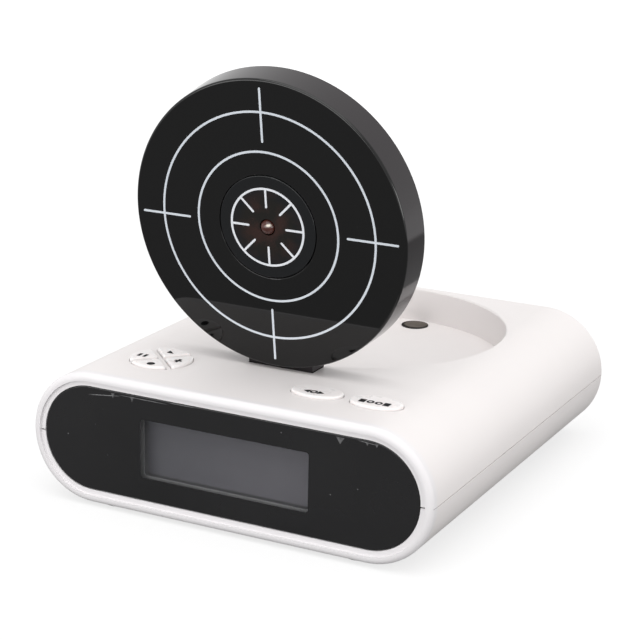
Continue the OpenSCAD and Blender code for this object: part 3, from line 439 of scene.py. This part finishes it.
white_shell = shell_material()
white_key = surface("white_key", shade(WHITE, 1.02), rough=0.28, vary=0.01, grain=SHELL_GRAIN,
                    grain_depth=0.006 * MM, spec=SHELL_SPECULAR, soft=0.7)
window_black = surface("window_black", (0.0115, 0.0113, 0.012), rough=0.05, vary=0.15, grain=400.0,
                       grain_depth=0.003 * MM, spec=0.4, dust=0.6, dust_colour=(0.10, 0.10, 0.105))
film_marks(window_black)
face_black = surface("face_black", (0.0012, 0.0012, 0.0013), rough=0.035, vary=0.15, grain=300.0,
                     grain_depth=0.002 * MM, spec=0.42, dust=0.25, dust_colour=(0.06, 0.06, 0.06))
wall_black = surface("wall_black", (0.0115, 0.0098, 0.0108), rough=0.08, vary=0.15, grain=500.0,
                     grain_depth=0.004 * MM, spec=0.45, tint=(1.0, 0.94, 0.97))
mask_grey = surface("mask_grey", (0.5, 0.5, 0.51), rough=0.6, vary=0.08, grain=500.0,
                    grain_depth=0.005 * MM)
lead_grey = surface("lead_grey", (0.33, 0.33, 0.35), rough=0.4, vary=0.1, grain=1500.0)
strip_pink = surface("strip_pink", (0.45, 0.15, 0.22), rough=0.8, vary=0.15)
guide_white = surface("guide_white", (0.75, 0.78, 0.80))
part_black = surface("part_black", (0.02, 0.02, 0.02), rough=0.5, vary=0.2, grain_depth=0.04 * MM)
print_dark = surface("print_dark", (0.012, 0.012, 0.013), rough=0.6, vary=0.15, grain=900.0, spec=0.08)
rubber = surface("rubber", (0.03, 0.03, 0.032), rough=0.85, vary=0.2, grain_depth=0.06 * MM)
cell_wrap = surface("cell_wrap", (0.04, 0.04, 0.05), rough=0.25, vary=0.1, coat=0.3)
steel = surface("steel", (0.55, 0.55, 0.57), vary=0.08, patch=90.0, grain=3000.0, metallic=1.0)
dull_steel = surface("dull_steel", (0.42, 0.42, 0.43), rough=0.45, vary=0.12, patch=90.0, grain=3000.0,
                     metallic=1.0)
copper = surface("copper", (0.72, 0.33, 0.15), rough=0.28, vary=0.12, patch=120.0, grain=3500.0, metallic=1.0)
ferrite = surface("ferrite", (0.05, 0.05, 0.055), rough=0.6, vary=0.25, patch=300.0, grain_depth=0.06 * MM)
paper = surface("paper", (0.025, 0.024, 0.023), rough=0.9, vary=0.3, patch=900.0, grain=5000.0,
                grain_depth=0.08 * MM)
board = surface("board", (0.025, 0.11, 0.045), vary=0.15, patch=120.0, grain=1500.0)
pole_side = surface("pole_side", (0.018, 0.017, 0.015), rough=0.6, vary=0.2, patch=300.0)
lens_red = lens_material()
pole = pole_material()
dome = dome_material()
print_pale = print_material()
display_glass = display_material()
window_clear = clear_material()
film_marks(window_clear)

LOOK = {
    "upper_shell": white_shell, "lower_shell": white_shell, "battery_door": white_shell,
    "set_button": white_key, "mode_button": white_key, "key_left": white_key, "key_right": white_key,
    "key_rear": white_key, "key_front": white_key,
    "front_window": window_black, "window_mask": mask_grey, "lcd_holder": mask_grey,
    "lcd_glass": display_glass, "lcd_backlight": guide_white, "contact_strips": strip_pink,
    "display_board": board, "key_board": board, "sensor_board": board,
    "board_parts": part_black, "tact_switches": part_black, "ribbon_cable": lead_grey,
    "display_screws": steel, "board_screws": steel, "case_screws": steel, "sensor_screws": steel,
    "target_screws": steel, "strap_screws": steel, "magnet_strap": dull_steel,
    "hinge_pin": steel, "target_spring": steel, "battery_springs": steel, "battery_plates": steel,
    "target_shell": wall_black, "target_cover": wall_black, "bullseye_lens": lens_red,
    "target_print": print_pale, "receiver_dome": dome, "keeper_plate": dull_steel,
    "magnet_core": pole, "magnet_coil": copper,
    "speaker_basket": dull_steel, "speaker_cone": paper, "speaker_magnet": ferrite,
    "batteries": cell_wrap, "rubber_feet": rubber,
}


# The model's own nodes
def dress(name, look):
    data = nodes[name].data
    data.materials.clear()
    data.materials.append(look)


def second_look(name, look, belongs):
    """Gives the polygons that belong a second material."""
    data = nodes[name].data
    data.materials.append(look)
    for polygon in data.polygons:
        if belongs(polygon):
            polygon.material_index = 1


def smooth_shading(name, angle):
    """Shades a node's round faces as one, with sharp edges past an angle in degrees."""
    node = nodes[name]
    data = node.data
    if "custom_normal" in data.attributes:
        data.attributes.remove(data.attributes["custom_normal"])
    for polygon in data.polygons:
        polygon.use_smooth = True
    weld = node.modifiers.new("weld", "WELD")
    weld.merge_threshold = WELD
    edges = node.modifiers.new("edges", "EDGE_SPLIT")
    edges.split_angle = math.radians(angle)
    weighted = node.modifiers.new("weighted", "WEIGHTED_NORMAL")
    weighted.weight = 50


def exact_normals(name, centre, front):
    """Gives the target's face, rounded edge and wall the normals of their true shape."""
    data = nodes[name].data
    normals = [corner.vector.copy() for corner in data.corner_normals]
    slope = TARGET_FLARE / (TARGET_T - TARGET_EDGE)
    for polygon in data.polygons:
        for corner, index in zip(polygon.loop_indices, polygon.vertices):
            offset = data.vertices[index].co - centre
            depth = -offset.dot(front)
            flat = offset + front * depth
            reach = flat.length - (TARGET_R - TARGET_EDGE)
            outward = flat.normalized()
            wall_reach = TARGET_EDGE + slope * (depth - TARGET_EDGE)
            faces_front = polygon.normal.dot(front) > LOOKS_FRONT
            faces_out = polygon.normal.dot(outward) > LOOKS_OUT
            straight_out = polygon.normal.dot(outward) > LOOKS_STRAIGHT_OUT
            on_wall = straight_out and abs(reach - wall_reach) < NORMAL_TOLERANCE
            if abs(depth) < NORMAL_TOLERANCE and reach < NORMAL_TOLERANCE and faces_front:
                normals[corner] = front
            elif -NORMAL_TOLERANCE < reach and depth < TARGET_EDGE and faces_out:
                normals[corner] = (outward * reach + front * (TARGET_EDGE - depth)).normalized()
            elif depth >= TARGET_EDGE and on_wall:
                normals[corner] = (outward + front * slope).normalized()
    for polygon in data.polygons:
        polygon.use_smooth = True
    data.normals_split_custom_set(normals)


for node_name, look in LOOK.items():
    dress(node_name, look)

face_normal = max((p.normal for p in nodes["target_print"].data.polygons), key=lambda n: -n.y).copy()
second_look("target_shell", face_black, lambda p: p.normal.dot(face_normal) > LIT_FACE)
second_look("magnet_core", pole_side, lambda p: p.normal.z < LEVEL_FACE)
exact_normals("target_shell", lens_middle(), face_normal)
for node_name in ("target_cover", "bullseye_lens", "receiver_dome"):
    smooth_shading(node_name, ROUND_ANGLE)
for node_name in ("set_button", "mode_button", "key_left", "key_right", "key_rear", "key_front"):
    smooth_shading(node_name, KEY_ANGLE)


# Pieces made here
def add_piece(name, mesh, body):
    piece = bpy.data.objects.new(name, mesh)
    bpy.context.scene.collection.objects.link(piece)
    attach(piece, body)
    return piece


def arc(centre, radius, start, turn, steps):
    """Points along an arc, in degrees."""
    angles = [math.radians(start + turn * i / steps) for i in range(steps + 1)]
    return [(centre[0] + radius * math.cos(a), centre[1] + radius * math.sin(a)) for a in angles]


def pill_outline(half_flat, radius, steps):
    """Bar with round ends, in X and Z about its middle, anticlockwise."""
    return arc((half_flat, 0), radius, -90, 180, steps) + arc((-half_flat, 0), radius, 90, 180, steps)


def round_rect(half, radius, steps):
    points = []
    for x, z, start in ((1, -1, -90), (1, 1, 0), (-1, 1, 90), (-1, -1, 180)):
        points += arc((x * (half.x - radius), z * (half.y - radius)), radius, start, 90, steps)
    return points


def front_window():
    """The window: rounded edge, black border on its front, and a clear field before the display."""
    low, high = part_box("front_window")
    middle_z = (low.z + high.z) / 2
    radius = (high.z - low.z) / 2
    half_flat = (high.x - low.x) / 2 - radius
    lcd_low, lcd_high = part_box("lcd_glass")
    field_x = (lcd_low.x + lcd_high.x) / 2
    steps = 48
    mesh = bpy.data.meshes.new("front_window_dressed")
    bm = bmesh.new()

    def loop(outline, y, shift=0.0):
        return [bm.verts.new((x + shift, y, middle_z + z)) for x, z in outline]

    rings = []
    for angle in (0, 22.5, 45, 67.5, 90):
        inset = WINDOW_EDGE * (1 - math.sin(math.radians(angle)))
        back = WINDOW_EDGE * (1 - math.cos(math.radians(angle)))
        rings.append(loop(pill_outline(half_flat, radius - inset, steps), low.y + back))
    rings.append(loop(pill_outline(half_flat, radius, steps), high.y))
    count = len(rings[0])
    for a, b in zip(rings, rings[1:]):
        for i in range(count):
            j = (i + 1) % count
            bm.faces.new((a[i], a[j], b[j], b[i])).smooth = True
    field = loop(round_rect(VIEW_HALF, VIEW_CORNER, 8), low.y, field_x)
    bm.faces.new(field).material_index = 1
    edges = []
    for rim in (rings[0], field):
        edges += [bm.edges.get((rim[i], rim[(i + 1) % len(rim)])) for i in range(len(rim))]
    bmesh.ops.triangle_fill(bm, use_beauty=True, use_dissolve=False, edges=edges)
    bm.faces.new(rings[-1]).material_index = 1
    bmesh.ops.recalc_face_normals(bm, faces=bm.faces)
    bm.to_mesh(mesh)
    bm.free()
    mesh.materials.append(window_black)
    mesh.materials.append(window_clear)
    piece = add_piece("front_window_dressed", mesh, "base")
    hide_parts("front_window")


def prism(bm, points, low, high):
    """Solid over a flat outline."""
    bottom = [bm.verts.new((x, y, low)) for x, y in points]
    top = [bm.verts.new((x, y, high)) for x, y in points]
    bm.faces.new(top)
    bm.faces.new(bottom[::-1])
    for i in range(len(points)):
        j = (i + 1) % len(points)
        bm.faces.new((bottom[i], bottom[j], top[j], top[i]))


def bar(x, y, width, depth):
    w, d = width / 2, depth / 2
    return [(x - w, y - d), (x + w, y - d), (x + w, y + d), (x - w, y + d)]


def ring(x, y, radius, width):
    """A ring as one outline, open by a hair."""
    turn = 359
    steps = 32
    return arc((x, y), radius, 0, turn, steps) + arc((x, y), radius - width, turn, -turn, steps)


def plus(x, y, half_x, half_y, arm):
    """A plus sign as one outline. Its arms are twice the given arm wide."""
    return [(x - arm, y - half_y), (x + arm, y - half_y), (x + arm, y - arm), (x + half_x, y - arm),
            (x + half_x, y + arm), (x + arm, y + arm), (x + arm, y + half_y), (x - arm, y + half_y),
            (x - arm, y + arm), (x - half_x, y + arm), (x - half_x, y - arm), (x - arm, y - arm)]


def mark(name, body, outlines):
    """Print on top of a key: thin solids that stand a hair above it, in millimetres from its middle."""
    low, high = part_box(body)
    middle = (low + high) / 2
    mesh = bpy.data.meshes.new(name)
    bm = bmesh.new()
    for outline in outlines:
        points = [(middle.x + x * MM, middle.y + y * MM) for x, y in outline]
        prism(bm, points, high.z - MARK_SUNK, high.z + MARK_PROUD)
    bmesh.ops.recalc_face_normals(bm, faces=bm.faces)
    bm.to_mesh(mesh)
    bm.free()
    mesh.materials.append(print_dark)
    add_piece(name, mesh, body)


def key_marks():
    """Plain generic marks: ring between triangles, blocks and rings, two bars, a plus, a wedge and a dot."""
    triangle_left = [(-3.9, -1.75), (-1.7, -3.1), (-1.7, -0.4)]
    triangle_right = [(3.3, -1.75), (1.1, -0.4), (1.1, -3.1)]
    mark("mark_set", "set_button", [ring(-0.3, -1.75, 1.3, 0.7), triangle_left, triangle_right])
    mark("mark_mode", "mode_button", [bar(x, -1.4, 2.1, 2.7) for x in (-4.1, 4.1)]
         + [ring(x, -1.4, 1.25, 0.7) for x in (-1.4, 1.4)])
    mark("mark_left", "key_left", [bar(x, -1.4, 1.1, 2.6) for x in (-1.75, 0.4)])
    mark("mark_right", "key_right", [plus(1.1, -0.7, 1.25, 1.7, 0.5)])
    mark("mark_rear", "key_rear", [[(-1.0, -0.8), (1.6, -0.8), (-1.1, 1.7)]])
    mark("mark_front", "key_front", [arc((0.7, -2.0), 1.35, 0, 350, 35)])


# Floor, light and camera
def ray_kinds(tree):
    """Two values: 1 for rays from the camera or through glass, and 1 for what mirrors show."""
    path = tree.nodes.new("ShaderNodeLightPath")
    direct = calc(tree, "MAXIMUM", path.outputs["Is Camera Ray"], path.outputs["Is Transmission Ray"])
    return direct, path.outputs["Is Glossy Ray"]


def floor():
    """Floor that the camera sees as white, over a middle grey of its own. It keeps the object's shadow."""
    size = 6.0
    under = 0.01 * MM
    own_tone = 0.28
    lift = 0.72
    mirror_near, mirror_far = 0.05, 0.85
    dark_reach = 0.38
    blend_width = 0.06
    corners = [(x * size, y * size, -under) for x, y in ((-1, -1), (1, -1), (1, 1), (-1, 1))]
    mesh = bpy.data.meshes.new("floor")
    mesh.from_pydata(corners, [], [(0, 1, 2, 3)])
    plane = bpy.data.objects.new("floor", mesh)
    bpy.context.scene.collection.objects.link(plane)
    mat, tree, bsdf = new_material("floor")
    bsdf.inputs["Base Color"].default_value = (own_tone, own_tone, own_tone, 1.0)
    bsdf.inputs["Roughness"].default_value = 0.9
    bsdf.inputs["Specular IOR Level"].default_value = 0.0
    direct, mirrored = ray_kinds(tree)
    coords = object_coords(tree)
    away = vector_calc(tree, "LENGTH", coords, output="Value")
    share = ramp(tree, away, dark_reach, dark_reach + blend_width, mirror_near, mirror_far)
    seen = calc(tree, "MAXIMUM", direct, calc(tree, "MULTIPLY", mirrored, share))
    white = ramp(tree, away, 0.2, 1.2, lift, 1.0)
    bsdf.inputs["Emission Color"].default_value = (1.0, 1.0, 1.0, 1.0)
    tree.links.new(calc(tree, "MULTIPLY", seen, white), bsdf.inputs["Emission Strength"])
    mesh.materials.append(mat)


def world():
    """Even light from all round. What the camera, mirrors and glass see of it is white."""
    even_light = 0.66
    studio = bpy.data.worlds.new("studio")
    bpy.context.scene.world = studio
    studio.use_nodes = True
    tree = studio.node_tree
    background = tree.nodes["Background"]
    background.inputs["Color"].default_value = (1.0, 1.0, 1.0, 1.0)
    direct, mirrored = ray_kinds(tree)
    seen = calc(tree, "MAXIMUM", direct, mirrored)
    tree.links.new(ramp(tree, seen, 0.0, 1.0, even_light, 1.0), background.inputs["Strength"])


def softbox(name, place, size, power, mirrored=True):
    """Soft lamp that looks at the middle of the object. Glossy surfaces may leave it out."""
    aim = Vector((0.0, 0.0, 0.05))
    light = bpy.data.lights.new(name, "AREA")
    light.shape = "RECTANGLE"
    light.size, light.size_y = size
    light.energy = power
    lamp = bpy.data.objects.new(name, light)
    lamp.location = place
    lamp.visible_glossy = mirrored
    lamp.rotation_euler = (aim - Vector(place)).to_track_quat("-Z", "Y").to_euler()
    bpy.context.scene.collection.objects.link(lamp)


def camera():
    """Camera of the photograph, found from the outlines of the target, the window and the base."""
    place = (0.2772, -0.55562, 0.2356)
    azimuth, elevation, roll = (math.radians(a) for a in (26.953, 16.526, 1.162))
    image_px = 640
    focal_px = 1911.221
    sensor = 36.0
    back = Vector((math.sin(azimuth) * math.cos(elevation), -math.cos(azimuth) * math.cos(elevation),
                   math.sin(elevation)))
    right = (-back).cross(Vector((0, 0, 1))).normalized()
    up = right.cross(-back)
    right_rolled = right * math.cos(roll) + up * math.sin(roll)
    up_rolled = up * math.cos(roll) - right * math.sin(roll)
    data = bpy.data.cameras.new("camera")
    data.sensor_width = sensor
    data.lens = focal_px / image_px * sensor
    data.clip_start = 0.01
    data.clip_end = 20.0
    view = bpy.data.objects.new("camera", data)
    turn = Matrix((right_rolled, up_rolled, back)).transposed().to_4x4()
    view.matrix_world = Matrix.Translation(place) @ turn
    bpy.context.scene.collection.objects.link(view)
    bpy.context.scene.camera = view


front_window()
key_marks()
floor()
world()
softbox("top_box", place=(0.08, -0.26, 0.85), size=(0.9, 0.9), power=4.2)
softbox("front_box", place=(-0.35, -0.95, 0.24), size=(1.0, 0.45), power=4.4)
softbox("right_box", place=(0.95, -0.2, 0.16), size=(0.7, 0.3), power=2.75)
softbox("rear_box", place=(0.1, 1.0, 0.3), size=(0.7, 0.4), power=2.2, mirrored=False)
camera()
bpy.context.scene.view_settings.view_transform = "Standard"
